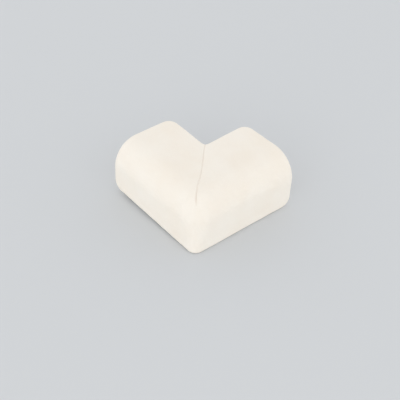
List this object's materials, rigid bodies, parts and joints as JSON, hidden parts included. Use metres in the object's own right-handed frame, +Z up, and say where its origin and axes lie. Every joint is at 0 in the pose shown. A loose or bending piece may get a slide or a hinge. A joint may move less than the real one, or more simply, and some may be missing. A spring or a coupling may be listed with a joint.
{
  "type": "furniture corner protector",
  "caption": "Soft foam guard that folds over the corner of a table, with a top flange in two mitred arms and a rounded side flange.",
  "frame": {"origin": "the corner of the table top that the guard fits over, where its three seat faces meet", "axes": "+X and +Y along the two arms, over the table's edges; +Z up, out of the table top"},
  "size_m": [0.06, 0.06, 0.028],
  "materials": {
    "foam": "matte closed-cell foam with a fine skin, cream white"
  },
  "bodies": {
    "root": {"foam_corner": "foam"}
  },
  "joints": []
}
